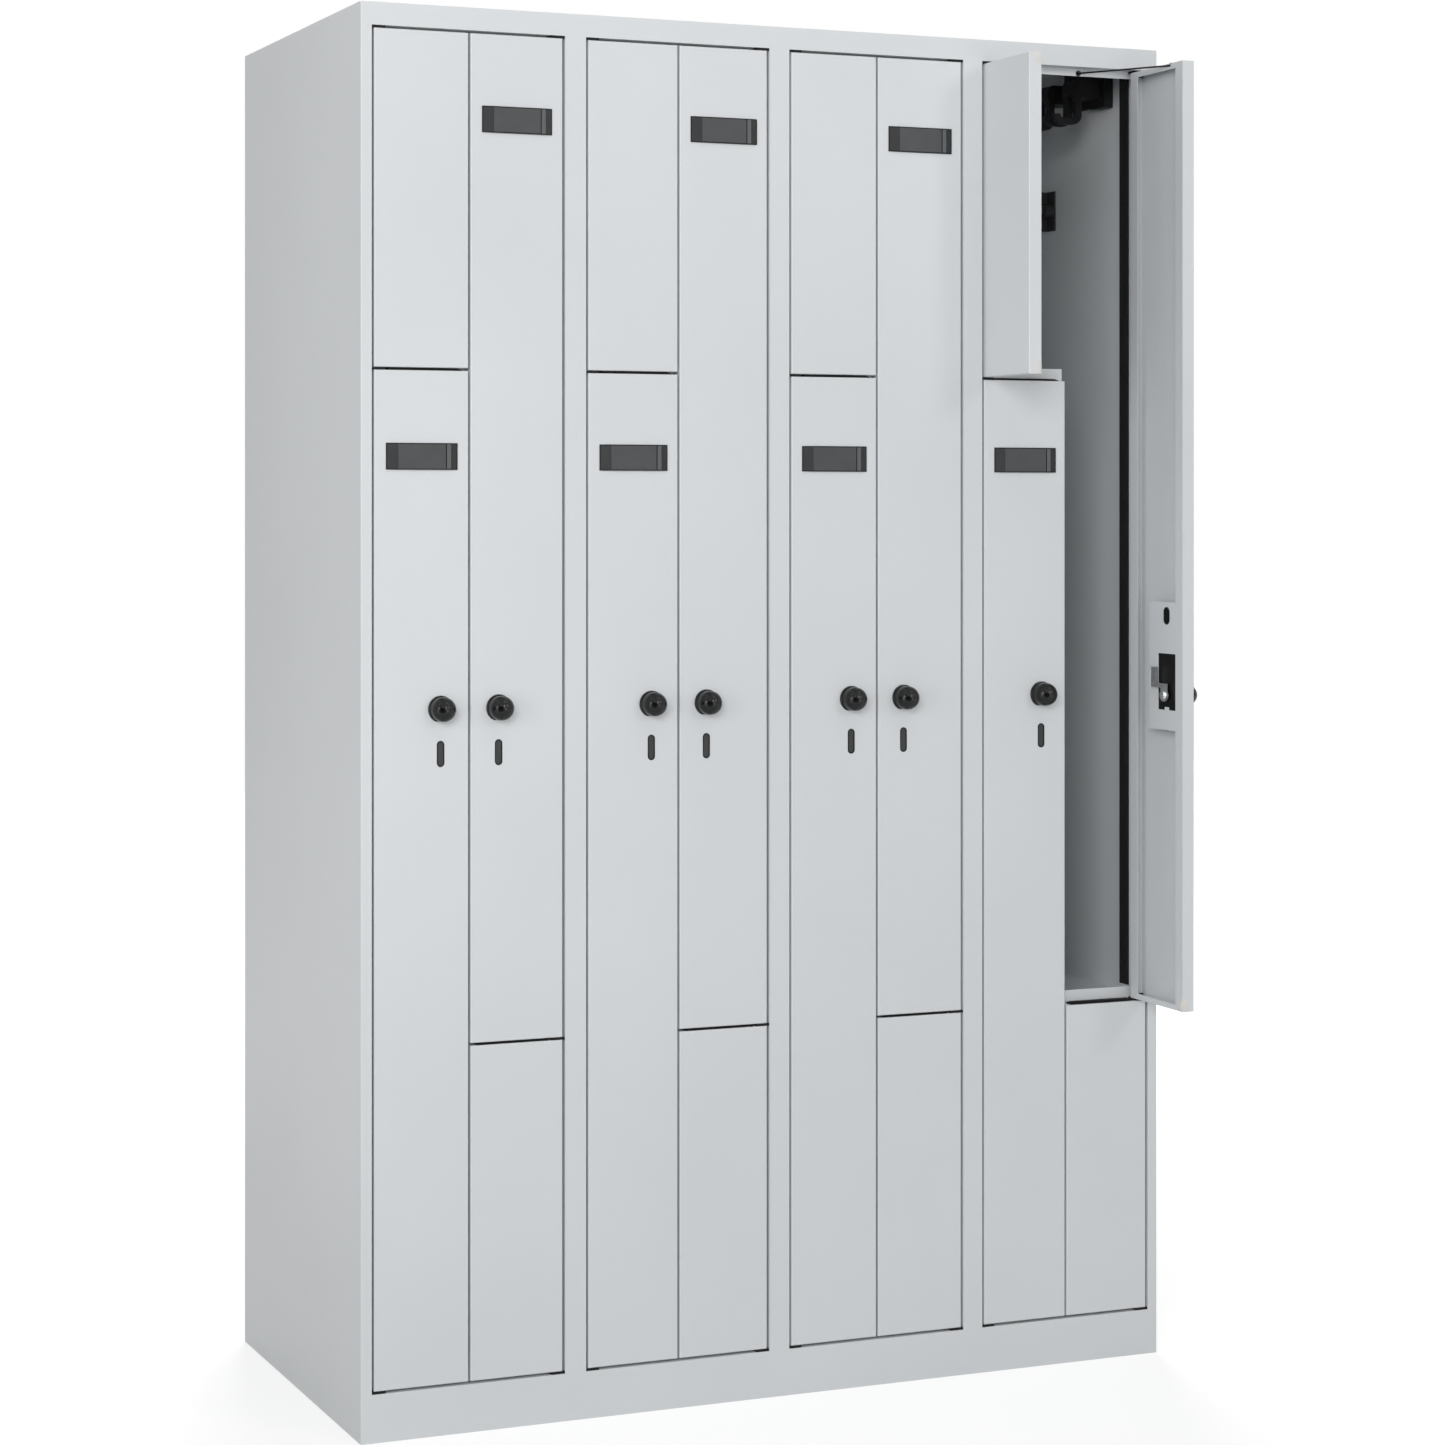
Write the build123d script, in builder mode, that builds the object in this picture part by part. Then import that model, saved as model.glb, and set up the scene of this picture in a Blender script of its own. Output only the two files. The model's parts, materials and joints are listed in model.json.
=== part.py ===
from build123d import *
import math
import os

os.makedirs("parts", exist_ok=True)

# Carcass, in millimetres: X along the front, Y into the locker, Z up, origin under its middle
width = 1200.0
depth = 500.0
height = 1850.0
sheet = 1.0
compartments = 4

# Front frame
frame_sheet = 1.5
stile = 15.0
header = 29.5
base_rail = 62.5
return_depth = 70.0
frame_edge_radius = 1.2
stop_depth = 20.0
header_lip = 10.0
stop_lip = 16.0

# Leaves, folded as pans with their open side inwards
small_leaf = 435.5
leaf_thick = 18.5
leaf_sheet = 1.0
leaf_gap = 3.5
seam = 3.0
leaf_return = 17.5
end_flange = 8.0
leaf_edge_radius = 1.5
open_angle = 88.0
small_open_angle = 92.0

# Hinge bushes and their pins
hinge_inset = 4.5
hinge_depth = 4.5
pin_radius = 3.0
pin_reach = 6.0
bush_length = 19.0
bush_setback = 1.0
running_clearance = 0.05
axial_gap = 0.3

# Divider folded like a Z inside each compartment
divider_sheet = 1.2
divider_flange = 12.0
lip_corner_radius = 3.0

# Rotary latch
knob_inset = 39.0
knob_height = 940.0
knob_radius = 17.5
knob_flange = 3.0
knob_flange_rounding = 0.8
knob_grip_radius = 15.7
knob_dome_middle = 12.0
knob_flat = 14.8
knob_hole_inset = 6.6
knob_recess_radius = 3.8
knob_recess_floor = 23.0
knob_hole_radius = 2.2
knob_hole_floor = 20.0
knob_valley_floor = 11.6
knob_valley_half = 3.6
knob_valley_arc = 80.0
knob_seat_gap = 0.3
spindle_radius = 6.0
stub_radius = 4.0
stub_pilot_radius = 2.0
cam_sheet = 2.5
cam_hub_radius = 9.0
cam_leg_half = 7.0
cam_foot = 10.0
cam_bend = 16.0
cam_tab_near = 18.0
cam_tab_far = 30.0
cam_tab_top = 38.3
cam_gap = 0.5
cam_screw_angle = 20.0
screw_head_radius = 5.5
screw_head_rise = 2.2
screw_slot_width = 1.2
screw_slot_depth = 1.0

# Lock plate, lock case and padlock slot in each tall leaf
plate_width = 65.0
plate_above = 129.0
plate_below = 49.0
cutout_width = 43.0
cutout_height = 78.5
cutout_above = 57.5
cutout_tab_width = 10.0
cutout_tab_height = 4.0
case_gap = 0.2
case_overlap = 3.0
oval_width = 13.4
oval_height = 23.0
oval_above = 110.0
slot_width = 10.5
slot_height = 34.0
slot_below = 58.0
slot_patch_margin = 5.0
slot_rim = 1.4
slot_rim_rise = 0.5
slot_floor = 0.5
insert_clearance = 0.1

# Label holder on each tall leaf
label_width = 98.5
label_height = 34.5
label_thick = 2.6
label_edge_thick = 1.2
label_near_bevel = 16.0
label_far_bevel = 9.5
label_groove_inset = 16.0
label_groove_width = 0.8
label_groove_depth = 0.7
label_left_drop = 111.2
label_right_drop = 110.9

# Stay rod between each upper tall leaf and the header, through an eye in the header lip
stay_along = 94.5
stay_inside = 11.3
stay_radius = 1.25
stay_under_gap = 0.4
stay_pin_radius = 1.5
stay_pin_foot = 1.5
stay_head_radius = 2.5
stay_head_gap = 0.2
stay_head_thick = 0.6
stay_eye_inset = 98.0
stay_ball_radius = 3.95
stay_ball_gap = 4.3
stay_side_clearance = 0.5
stay_turn_share = 0.5
stay_steps = 44
grommet_radius = 3.95
grommet_thick = 1.0

# Fittings inside
strip_width = 21.0
strip_thick = 2.0
strip_setback = 1.5
strip_foot_margin = 13.0
strip_top_margin = 2.0
hook_plate_depth = 107.0
hook_plate_length = 121.0
hook_plate_height = 62.0
hook_plate_thick = 4.0
hook_plate_radius = 12.0
hook_block_length = 68.0
hook_block_height = 66.5
hook_block_thick = 15.0
hook_block_radius = 40.0
hook_front_inset = 18.0
hook_pair_spacing = 71.5
hook_spacing = 25.0
hook_reach = 67.0
hook_section = 9.5
hook_half_width = 23.0
hook_corner_radius = 15.0
hook_drop = 92.0
hook_tip_rise = 15.0
hook_arm_drop = 39.0
hook_arm_height = 28.0
hook_arm_length = 55.0
hook_arm_radius = 10.0
rail_depth = 268.0
rail_drop = 203.0
rail_radius = 7.5
bracket_height = 59.0
bracket_width = 22.0
bracket_thick = 3.0
bracket_boss = 3.5
bracket_boss_length = 14.0

# Plinth and levelling feet
plinth_sheet = 1.5
plinth_flange = 34.0
foot_radius = 12.0
foot_pad = 4.0
foot_hole_clearance = 1.0
foot_inset = 14.0
foot_stud_radius = 4.0
foot_stud_top = 34.0
gusset_size = 40.0
gusset_height = 20.0
gusset_sheet = 2.0
nut_radius = 7.0
nut_height = 6.0
nut_sides = 6

overrun = 5.0

# Worked out from the sizes above
front = -depth / 2
back = depth / 2
pitch = width / compartments
opening = pitch - 2 * stile
leaf_width = (opening - 2 * leaf_gap - seam) / 2
opening_top = height - header
leaf_top = opening_top - leaf_gap
leaf_bottom = base_rail + leaf_gap
upper_seam_top = leaf_top - small_leaf
upper_seam_bottom = upper_seam_top - leaf_gap
lower_seam_bottom = leaf_bottom + small_leaf
lower_seam_top = lower_seam_bottom + leaf_gap
upper_shelf = (upper_seam_top + upper_seam_bottom) / 2
lower_shelf = (lower_seam_top + lower_seam_bottom) / 2
roof_under = height - sheet
back_inside = back - sheet
inner_depth = leaf_thick - hinge_depth
free_edge = leaf_width - hinge_inset
pivot_inset = stile + leaf_gap + hinge_inset
knob_along = free_edge - knob_inset
cam_front = stop_depth + divider_sheet + cam_gap
stay_level = leaf_top - leaf_sheet - stay_under_gap - stay_radius


def block(x0, x1, y0, y1, z0, z1, mode=Mode.ADD):
    """A box between two corners, in the plane of the part being built."""
    with Locations(((x0 + x1) / 2, (y0 + y1) / 2, (z0 + z1) / 2)):
        Box(x1 - x0, y1 - y0, z1 - z0, mode=mode)


def compartment_left(index):
    return -width / 2 + index * pitch


def wall_faces(index):
    """Where the inner faces of a compartment's two side walls are."""
    left = compartment_left(index) + (sheet if index == 0 else sheet / 2)
    right = compartment_left(index + 1) - (sheet if index == compartments - 1 else sheet / 2)
    return left, right


def leaf_plane(index, hand, angle):
    """A leaf's own plane: origin on its hinge axis, X to its free edge. Hand is 1 hinged left, -1 right."""
    inset = pivot_inset if hand > 0 else pitch - pivot_inset
    turn = math.radians(-hand * angle)
    return Plane(
        origin=(compartment_left(index) + inset, front + hinge_depth, 0),
        x_dir=(hand * math.cos(turn), hand * math.sin(turn), 0),
        z_dir=(0, 0, 1),
    )


def face_plane(plane, hand, along, inside, level):
    """A plane parallel to the leaf's face: X to the right when closed, Y up, Z outwards."""
    return Plane(
        origin=plane.from_local_coords((along, hand * inside, level)),
        x_dir=plane.x_dir * hand,
        z_dir=plane.y_dir * -hand,
    )


# Front frame: one welded face with box stiles, header and base rail
def make_front_frame():
    with BuildPart() as front_frame:
        block(-width / 2, width / 2, front, front + frame_sheet, 0, height)
        outer_edges = front_frame.edges().filter_by(Axis.Z).group_by(Axis.Y)[0]
        fillet(outer_edges, frame_edge_radius)
        for index in range(compartments):
            left = compartment_left(index) + stile
            right = left + opening
            block(left, right, front - overrun, front + overrun,
                  base_rail, opening_top, Mode.SUBTRACT)
        lip_back = front + stop_depth + frame_sheet
        inside = width / 2 - sheet
        block(-inside, inside, front, lip_back, opening_top, opening_top + frame_sheet)
        block(-inside, inside, front, lip_back, base_rail - frame_sheet, base_rail)
        for index in range(compartments):
            left = compartment_left(index) + stile
            right = left + opening
            for inner, outer in ((left, left - frame_sheet), (right, right + frame_sheet)):
                block(min(inner, outer), max(inner, outer), front, front + return_depth,
                      base_rail, opening_top)
            block(left, right, front + stop_depth, lip_back, opening_top - header_lip, opening_top)
            block(left, right, front + stop_depth, lip_back, base_rail, base_rail + stop_lip)
        for index in range(compartments):
            eye_x, eye_radius = stay_eye(index)
            with Locations(Location((eye_x, front + stop_depth, stay_level), (90, 0, 0))):
                Cylinder(eye_radius, 2 * overrun, mode=Mode.SUBTRACT)
        web_front = front + return_depth - frame_sheet
        for index in range(compartments + 1):
            left = max(compartment_left(index) - stile, -inside)
            right = min(compartment_left(index) + stile, inside)
            block(left, right, web_front, front + return_depth, base_rail, opening_top)
    front_frame.part.label = "front_frame"
    export_step(front_frame.part, "parts/front_frame.step")


# Outer sheets
def make_shell():
    for side, name in ((-1, "side_panel_left"), (1, "side_panel_right")):
        outer = side * width / 2
        inner = side * (width / 2 - sheet)
        with BuildPart() as side_panel:
            block(min(outer, inner), max(outer, inner), front + frame_sheet, back, 0, roof_under)
            back_edges = side_panel.edges().filter_by(Axis.Z).group_by(Axis.Y)[-1]
            fillet(back_edges.sort_by(Axis.X)[0 if side < 0 else -1], sheet / 2)
        side_panel.part.label = name
        export_step(side_panel.part, f"parts/{name}.step")
    with BuildPart() as back_panel:
        inside = width / 2 - sheet
        block(-inside, inside, back_inside, back, 0, roof_under)
    back_panel.part.label = "back_panel"
    export_step(back_panel.part, "parts/back_panel.step")
    with BuildPart() as roof_panel:
        block(-width / 2, width / 2, front + frame_sheet, back, roof_under, height)
    roof_panel.part.label = "roof_panel"
    export_step(roof_panel.part, "parts/roof_panel.step")
    with BuildPart() as partition_walls:
        for index in range(1, compartments):
            middle = compartment_left(index)
            block(middle - sheet / 2, middle + sheet / 2, front + return_depth, back_inside,
                  base_rail, roof_under)
    partition_walls.part.label = "partition_walls"
    export_step(partition_walls.part, "parts/partition_walls.step")


# Plinth base: compartment floor on a folded ring that stands on the ground
def foot_places():
    reach_x = width / 2 - sheet - plinth_sheet - foot_inset
    front_y = front + frame_sheet + plinth_sheet + foot_inset
    back_y = back_inside - plinth_sheet - foot_inset
    return [(x, y) for x in (-reach_x, reach_x) for y in (front_y, back_y)]


def make_base():
    ring_width = width - 2 * sheet
    ring_front = front + frame_sheet
    ring_depth = back_inside - ring_front
    middle = (ring_front + back_inside) / 2
    floor_under = base_rail - sheet
    with BuildPart() as plinth_base:
        with BuildSketch():
            with Locations((0, middle)):
                Rectangle(ring_width, ring_depth)
                Rectangle(ring_width - 2 * plinth_sheet, ring_depth - 2 * plinth_sheet, mode=Mode.SUBTRACT)
        extrude(amount=floor_under - frame_sheet)
        with BuildSketch():
            with Locations((0, middle)):
                Rectangle(ring_width, ring_depth)
                Rectangle(ring_width - 2 * plinth_flange, ring_depth - 2 * plinth_flange, mode=Mode.SUBTRACT)
            with Locations(*foot_places()):
                Circle(foot_radius + foot_hole_clearance, mode=Mode.SUBTRACT)
        extrude(amount=plinth_sheet)
        sides_front = front + stop_depth + frame_sheet
        block(-ring_width / 2, ring_width / 2, sides_front, back_inside, floor_under, base_rail)
        block(-ring_width / 2, ring_width / 2, back_inside - plinth_sheet, back_inside, 0, floor_under)
        for side in (-1, 1):
            outer = side * ring_width / 2
            inner = side * (ring_width / 2 - plinth_sheet)
            block(min(outer, inner), max(outer, inner), sides_front, back_inside, 0, floor_under)
        for x, y in foot_places():
            corner_x = math.copysign(ring_width / 2 - gusset_size / 2, x)
            corner_y = math.copysign(ring_depth / 2 - gusset_size / 2, y) + middle
            with Locations((corner_x, corner_y, gusset_height + gusset_sheet / 2)):
                Box(gusset_size, gusset_size, gusset_sheet)
            with Locations((x, y, gusset_height + gusset_sheet / 2)):
                Cylinder(foot_stud_radius + running_clearance, 2 * overrun, mode=Mode.SUBTRACT)
    plinth_base.part.label = "plinth_base"
    export_step(plinth_base.part, "parts/plinth_base.step")
    with BuildPart() as levelling_feet:
        with BuildSketch():
            with Locations(*foot_places()):
                Circle(foot_radius)
        extrude(amount=foot_pad)
        with BuildSketch():
            with Locations(*foot_places()):
                Circle(foot_stud_radius)
        extrude(amount=foot_stud_top)
        with BuildSketch(Plane.XY.offset(gusset_height + gusset_sheet)):
            with Locations(*foot_places()):
                RegularPolygon(nut_radius, nut_sides)
        extrude(amount=nut_height)
    levelling_feet.part.label = "levelling_feet"
    export_step(levelling_feet.part, "parts/levelling_feet.step")


# Divider of one compartment: two half shelves joined by an upright, with stop lips to the front
def make_divider(index):
    name = f"z_divider_{index + 1}"
    left_wall, right_wall = wall_faces(index)
    left_return = compartment_left(index) + stile
    right_return = left_return + opening
    middle = compartment_left(index) + pitch / 2
    lip_front = front + stop_depth
    lip_back = lip_front + divider_sheet
    half_flange = divider_flange / 2
    half = divider_sheet / 2
    return_end = front + return_depth
    with BuildPart() as divider:
        with BuildSketch(Plane.XY.offset(upper_shelf - half)):
            with BuildLine():
                Polyline(
                    (left_return, lip_front), (middle + half_flange, lip_front),
                    (middle + half_flange, lip_back), (middle + half, lip_back),
                    (middle + half, back_inside), (left_wall, back_inside),
                    (left_wall, return_end), (left_return, return_end), close=True)
            make_face()
        extrude(amount=divider_sheet)
        with BuildSketch(Plane.XY.offset(lower_shelf - half)):
            with BuildLine():
                Polyline(
                    (right_return, lip_front), (middle - half_flange, lip_front),
                    (middle - half_flange, lip_back), (middle - half, lip_back),
                    (middle - half, back_inside), (right_wall, back_inside),
                    (right_wall, return_end), (right_return, return_end), close=True)
            make_face()
        extrude(amount=divider_sheet)
        block(middle - half, middle + half, lip_front, back_inside, lower_shelf, upper_shelf)
        with BuildSketch(Plane.XZ.offset(-lip_front)):
            with BuildLine():
                Polyline(
                    (left_return, upper_shelf - stop_lip), (middle - half_flange, upper_shelf - stop_lip),
                    (middle - half_flange, lower_shelf - stop_lip), (right_return, lower_shelf - stop_lip),
                    (right_return, lower_shelf + stop_lip), (middle + half_flange, lower_shelf + stop_lip),
                    (middle + half_flange, upper_shelf + stop_lip), (left_return, upper_shelf + stop_lip),
                    close=True)
            lip_face = make_face()
            outer_corners = [
                (middle - half_flange, lower_shelf - stop_lip),
                (middle + half_flange, upper_shelf + stop_lip),
            ]
            for corner_x, corner_z in outer_corners:
                near = Vector(corner_x, corner_z)
                fillet(lip_face.vertices().sort_by_distance(near)[0], lip_corner_radius)
        extrude(amount=-divider_sheet)
    divider.part.label = name
    export_step(divider.part, f"parts/{name}.step")


# Hinge bushes in the corners and seams, with the pins that carry the leaves, and the stay grommets
def add_bush(index, hand, under, over, pin_down, pin_up):
    """One bush between two levels; a pin goes down or up from it into the leaf there."""
    plane = leaf_plane(index, hand, 0)
    outer = -leaf_gap - hinge_inset
    y_near = hand * (bush_setback - hinge_depth)
    y_far = hand * (stop_depth - hinge_depth)
    with Locations(plane):
        with Locations(((outer + outer + bush_length) / 2, (y_near + y_far) / 2, (under + over) / 2)):
            Box(bush_length, abs(y_far - y_near), over - under)
        if pin_down:
            with Locations((0, 0, under - (axial_gap + pin_reach) / 2)):
                Cylinder(pin_radius, axial_gap + pin_reach)
        if pin_up:
            with Locations((0, 0, over + (axial_gap + pin_reach) / 2)):
                Cylinder(pin_radius, axial_gap + pin_reach)


def make_bushes():
    with BuildPart() as hinge_bushes:
        for index in range(compartments):
            for hand in (1, -1):
                add_bush(index, hand, leaf_top + axial_gap, opening_top, True, False)
                add_bush(index, hand, base_rail, leaf_bottom - axial_gap, False, True)
            add_bush(index, 1, upper_seam_bottom + axial_gap, upper_seam_top - axial_gap, True, True)
            add_bush(index, -1, lower_seam_bottom + axial_gap, lower_seam_top - axial_gap, True, True)
            eye_x, eye_radius = stay_eye(index)
            with BuildSketch(Plane.XZ.offset(-front - stop_depth)):
                with Locations((eye_x, stay_level)):
                    Circle(grommet_radius)
                    Circle(eye_radius, mode=Mode.SUBTRACT)
            extrude(amount=grommet_thick)
    hinge_bushes.part.label = "hinge_bushes"
    export_step(hinge_bushes.part, "parts/hinge_bushes.step")


# Black strips on the jambs of the two narrow columns
def make_strips():
    near = front + return_depth - frame_sheet - strip_setback - strip_width
    far = near + strip_width
    with BuildPart() as jamb_strips:
        for index in range(compartments):
            left = compartment_left(index) + stile
            right = left + opening
            block(right - strip_thick, right, near, far,
                  lower_shelf + strip_foot_margin, opening_top - strip_top_margin)
            block(left, left + strip_thick, near, far,
                  base_rail + strip_foot_margin, upper_shelf - strip_top_margin)
    jamb_strips.part.label = "jamb_strips"
    export_step(jamb_strips.part, "parts/jamb_strips.step")


# Coat hooks: a wall plate with a thicker block in front and two arms, each over a pair of upturned hooks
def hook_wall(index, upper):
    """Wall position, direction into the locker and ceiling of the hooks in one locker."""
    left, right = wall_faces(index)
    return (right, -1, roof_under) if upper else (left, 1, upper_shelf - divider_sheet / 2)


def arm_outline(wall, way, ceiling):
    """One arm, square at the wall and rounded at its end, in an upright plane across the locker."""
    level = ceiling - hook_arm_drop
    with BuildSketch() as outline:
        with Locations((wall + way * hook_arm_length / 2, level)):
            RectangleRounded(hook_arm_length, hook_arm_height, hook_arm_radius)
        with Locations((wall + way * hook_arm_radius, level)):
            Rectangle(2 * hook_arm_radius, hook_arm_height)
    return outline.sketch


def hook_outline(wall, way, ceiling):
    """One hook: a leg down from the arm, a wide rounded foot and a short tip."""
    middle = wall + way * hook_reach
    foot = ceiling - hook_drop
    inner_half = hook_half_width - hook_section
    tip = foot + hook_tip_rise
    arm_level = ceiling - hook_arm_drop
    with BuildSketch() as outline:
        with Locations((middle, foot + hook_half_width)):
            RectangleRounded(2 * hook_half_width, 2 * hook_half_width, hook_corner_radius)
            RectangleRounded(2 * inner_half, 2 * inner_half, hook_corner_radius - hook_section,
                             mode=Mode.SUBTRACT)
        with Locations((middle, tip + hook_half_width)):
            Rectangle(2 * hook_half_width, 2 * hook_half_width, mode=Mode.SUBTRACT)
        leg_middle = middle - way * (hook_half_width - hook_section / 2)
        with Locations((leg_middle, (tip + arm_level) / 2)):
            Rectangle(hook_section, arm_level - tip)
    return outline.sketch


def make_hooks():
    plate_front = front + hook_plate_depth
    shapes = (
        (hook_plate_length, hook_plate_height, hook_plate_radius, hook_plate_thick),
        (hook_block_length, hook_block_height, hook_block_radius, hook_block_thick),
    )
    with BuildPart() as coat_hooks:
        for index in range(compartments):
            for upper in (True, False):
                wall, way, ceiling = hook_wall(index, upper)
                plate = Plane(origin=(wall, plate_front, ceiling), x_dir=(0, way, 0), z_dir=(way, 0, 0))
                for length, drop, rounding, thick in shapes:
                    with BuildSketch(plate):
                        with BuildLine():
                            Polyline((0, 0), (way * length, 0), (way * length, -drop), (0, -drop), close=True)
                        plate_face = make_face()
                        lower_rear = Vector(way * length, -drop)
                        fillet(plate_face.vertices().sort_by_distance(lower_rear)[0], rounding)
                    extrude(amount=thick)
                first = plate_front + hook_front_inset
                for pair in (first, first + hook_pair_spacing):
                    with BuildSketch(Plane.XZ.offset(-pair - hook_spacing / 2)):
                        add(arm_outline(wall, way, ceiling))
                    extrude(amount=(hook_spacing + hook_section) / 2, both=True)
                    for place in (pair, pair + hook_spacing):
                        with BuildSketch(Plane.XZ.offset(-place)):
                            add(hook_outline(wall, way, ceiling))
                        extrude(amount=hook_section / 2, both=True)
    coat_hooks.part.label = "coat_hooks"
    export_step(coat_hooks.part, "parts/coat_hooks.step")


# Coat rails: a rod across each hanging space, in a bracket at each end
def add_rail(left, right, level):
    rail_y = front + rail_depth
    inset = bracket_thick
    with Locations(Location(((left + right) / 2, rail_y, level), (0, 90, 0))):
        Cylinder(rail_radius, right - left - 2 * inset)
    for wall, way in ((left, 1), (right, -1)):
        plate = wall + way * bracket_thick
        boss = plate + way * bracket_boss_length
        flange = wall + way * bracket_width
        rear = rail_y + bracket_width / 2
        block(min(wall, plate), max(wall, plate), rail_y - bracket_width / 2, rear,
              level - bracket_height / 2, level + bracket_height / 2)
        block(min(wall, flange), max(wall, flange), rear - bracket_thick, rear,
              level - bracket_height / 2, level + bracket_height / 2)
        with Locations(Location(((plate + boss) / 2, rail_y, level), (0, 90, 0))):
            Cylinder(rail_radius + bracket_boss, bracket_boss_length)


def make_rails():
    with BuildPart() as coat_rails:
        for index in range(compartments):
            left, right = wall_faces(index)
            middle = compartment_left(index) + pitch / 2
            half = divider_sheet / 2
            add_rail(left, right, roof_under - rail_drop)
            add_rail(left, middle - half, upper_shelf - half - rail_drop)
    coat_rails.part.label = "coat_rails"
    export_step(coat_rails.part, "parts/coat_rails.step")


# One leaf: a folded pan, with a lock plate, latch hole and padlock slot where it is tall
def make_leaf(name, index, hand, low, high, angle, tall):
    plane = leaf_plane(index, hand, angle)
    hinge_edge = -hinge_inset
    outer = -hand * hinge_depth
    inner = hand * inner_depth
    skin_inside = hand * (leaf_sheet - hinge_depth)
    back_wall = hand * (inner_depth - leaf_sheet)
    with BuildPart(plane) as leaf:
        block(hinge_edge, free_edge, min(outer, inner), max(outer, inner), low, high)
        outward = face_plane(plane, hand, 0, 0, 0)
        fillet(leaf.faces().sort_by(Axis(outward.origin, outward.z_dir))[-1].edges(), leaf_edge_radius)
        block(hinge_edge + leaf_sheet, free_edge - leaf_sheet, min(skin_inside, back_wall),
              max(skin_inside, back_wall), low + leaf_sheet, high - leaf_sheet, Mode.SUBTRACT)
        beyond = inner + hand * overrun
        window = (min(back_wall, beyond), max(back_wall, beyond))
        block(hinge_edge + leaf_return, free_edge - leaf_return, *window,
              low + end_flange, high - end_flange, Mode.SUBTRACT)
        with Locations((0, 0, low), (0, 0, high)):
            Cylinder(pin_radius + running_clearance, 2 * overrun, mode=Mode.SUBTRACT)
        if tall:
            add_lock_plate(hand, back_wall, inner, skin_inside)
        if tall and high == leaf_top:
            with Locations((stay_along, hand * stay_inside, high)):
                Cylinder(stay_pin_radius + running_clearance, 2 * overrun, mode=Mode.SUBTRACT)
            notch_near, notch_far = stay_notch(index)
            block(notch_near, notch_far, *window, stay_level - stay_radius - stay_side_clearance,
                  high - leaf_sheet, Mode.SUBTRACT)
    leaf.part.label = name
    export_step(leaf.part, f"parts/{name}.step")


def add_lock_plate(hand, back_wall, inner, skin_inside):
    """The lock plate behind the latch, its holes, the latch hole and the blind padlock slot."""
    plate = (min(back_wall, inner), max(back_wall, inner))
    plate_near = free_edge - leaf_return - plate_width
    block(plate_near, free_edge - leaf_return, *plate,
          knob_height - plate_below, knob_height + plate_above)
    skin_outside = -hand * hinge_depth
    skin = (min(skin_inside, skin_outside), max(skin_inside, skin_outside))
    patch_far = skin_inside + hand * leaf_sheet
    patch = (min(skin_inside, patch_far), max(skin_inside, patch_far))
    slot_middle = knob_height - slot_below
    half_patch = slot_width / 2 + slot_patch_margin
    patch_rise = slot_height / 2 + slot_patch_margin
    block(knob_along - half_patch, knob_along + half_patch, *patch,
          slot_middle - patch_rise, slot_middle + patch_rise)
    cut_low = knob_height + cutout_above - cutout_height
    cut = (plate[0] - overrun, plate[1] + overrun)
    cut_near = knob_along - cutout_width / 2
    block(cut_near, cut_near + cutout_width, *cut, cut_low, cut_low + cutout_height, Mode.SUBTRACT)
    block(knob_along - cutout_tab_width / 2, knob_along + cutout_tab_width / 2, *plate,
          cut_low, cut_low + cutout_tab_height)
    straight = (oval_height - oval_width) / 2
    oval_middle = knob_height + oval_above
    block(knob_along - oval_width / 2, knob_along + oval_width / 2, *cut,
          oval_middle - straight, oval_middle + straight, Mode.SUBTRACT)
    for level in (oval_middle - straight, oval_middle + straight):
        with Locations(Location((knob_along, inner, level), (90, 0, 0))):
            Cylinder(oval_width / 2, 2 * overrun, mode=Mode.SUBTRACT)
    straight = (slot_height - slot_width) / 2
    block(knob_along - slot_width / 2, knob_along + slot_width / 2, *skin,
          slot_middle - straight, slot_middle + straight, Mode.SUBTRACT)
    skin_middle = (skin[0] + skin[1]) / 2
    for level in (slot_middle - straight, slot_middle + straight):
        with Locations(Location((knob_along, skin_middle, level), (90, 0, 0))):
            Cylinder(slot_width / 2, leaf_sheet, mode=Mode.SUBTRACT)
    with Locations(Location((knob_along, skin_middle, knob_height), (90, 0, 0))):
        Cylinder(spindle_radius + running_clearance, 2 * leaf_sheet, mode=Mode.SUBTRACT)


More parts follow.
